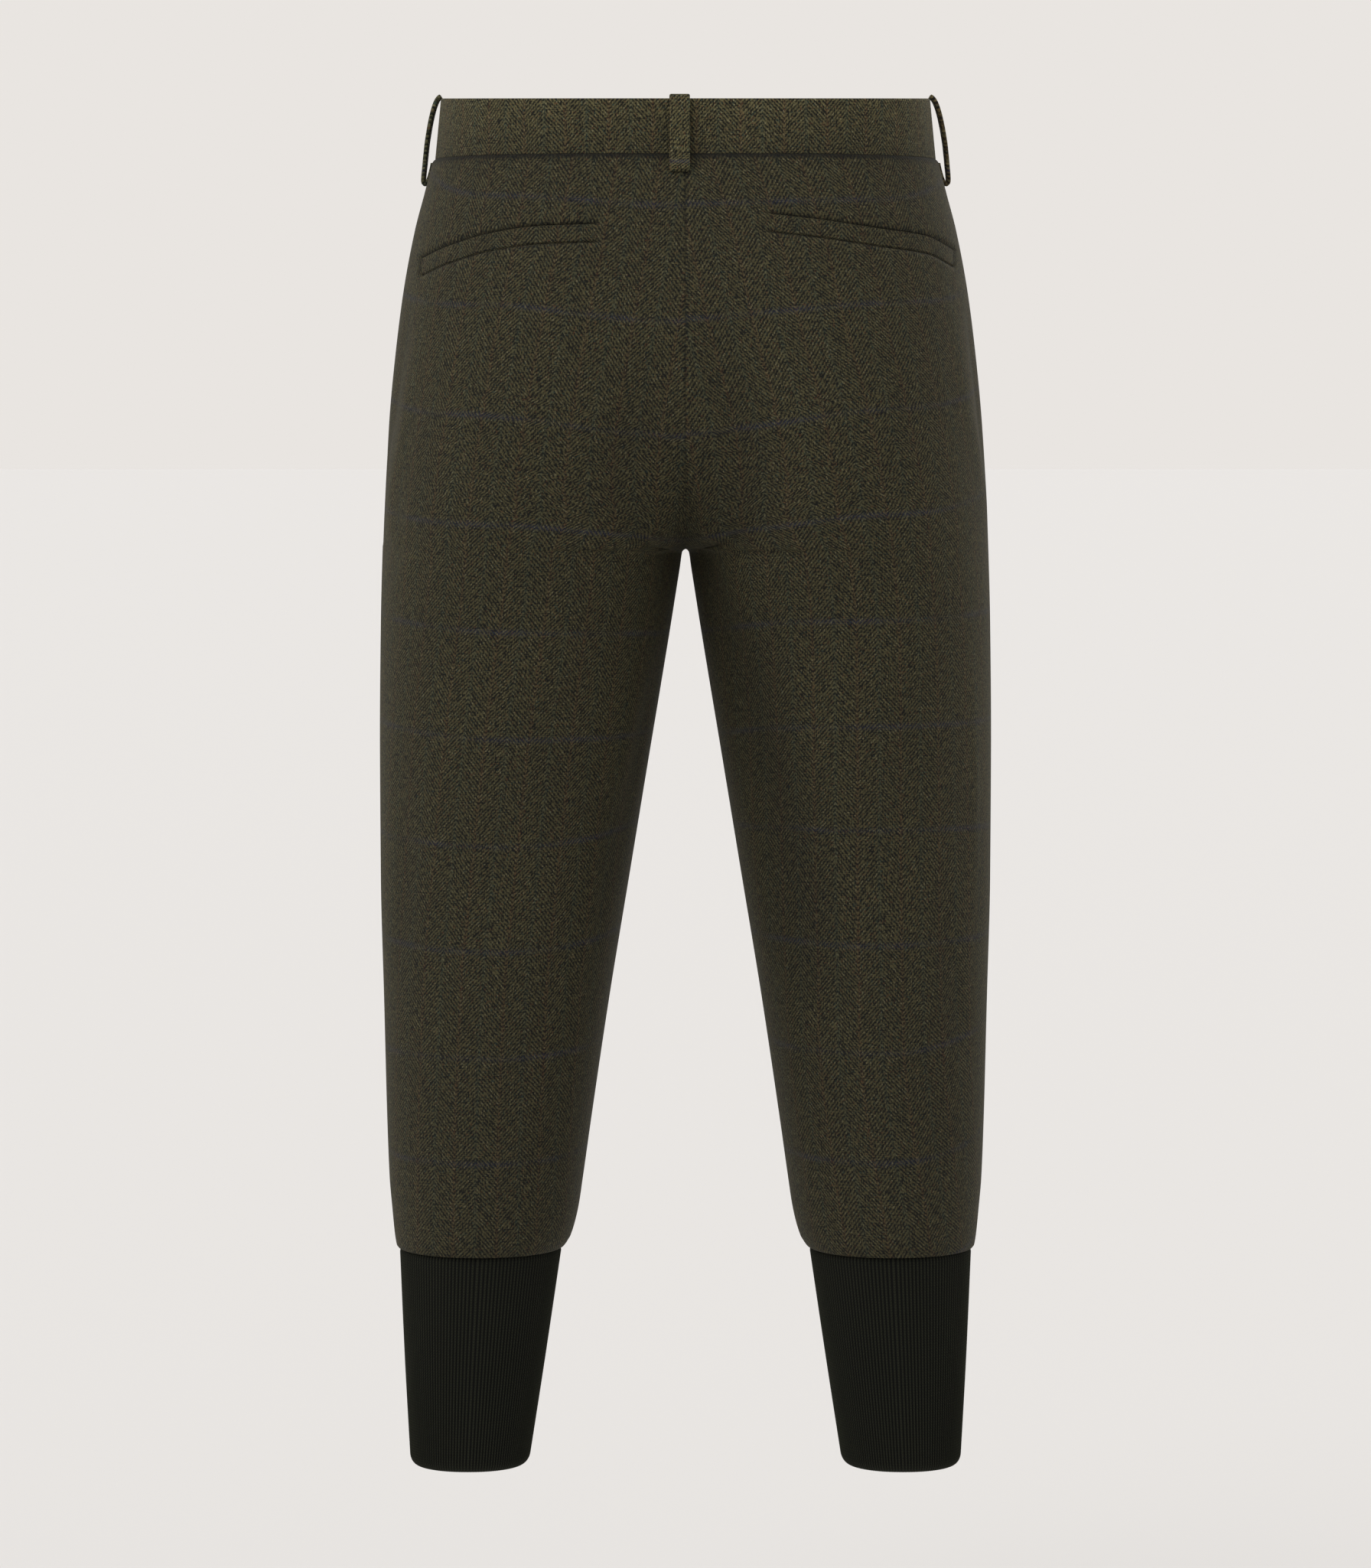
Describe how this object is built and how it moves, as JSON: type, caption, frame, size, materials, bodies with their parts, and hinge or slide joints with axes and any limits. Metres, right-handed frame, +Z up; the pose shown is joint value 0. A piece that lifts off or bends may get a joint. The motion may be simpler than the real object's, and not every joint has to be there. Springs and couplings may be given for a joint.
{
  "type": "breeches",
  "caption": "Tweed breeches held open as if worn, with a belted waistband, curved back pockets and long ribbed knit cuffs below the knee.",
  "frame": {"origin": "centre of the waistband's ring, half way up the band", "axes": "+Z up towards the waist opening, -Y towards the garment's front, +X towards the wearer's left"},
  "size_m": [0.3656, 0.2494, 0.824],
  "materials": {
    "tweed": "matte olive-brown wool in a herringbone weave with faint blue, rust and green checks",
    "band_tweed": "the same wool, pressed flat and stiffened",
    "rib_knit": "matte near-black green wool knitted in narrow ribs",
    "zip_tape": "matte woven tape",
    "button": "satin brown, horn-like"
  },
  "bodies": {
    "root": {"back_left": "tweed", "back_right": "tweed", "front_left": "tweed", "front_right": "tweed", "waistband_left": "band_tweed", "waistband_right": "band_tweed", "cuff_left": "rib_knit", "cuff_right": "rib_knit", "pocket_welt_left": "tweed", "pocket_welt_right": "tweed", "loop_back": "band_tweed", "loop_side_left": "band_tweed", "loop_side_right": "band_tweed", "loop_front_left": "band_tweed", "loop_front_right": "band_tweed", "fly_zip": "zip_tape", "waist_button": "button"}
  },
  "joints": []
}
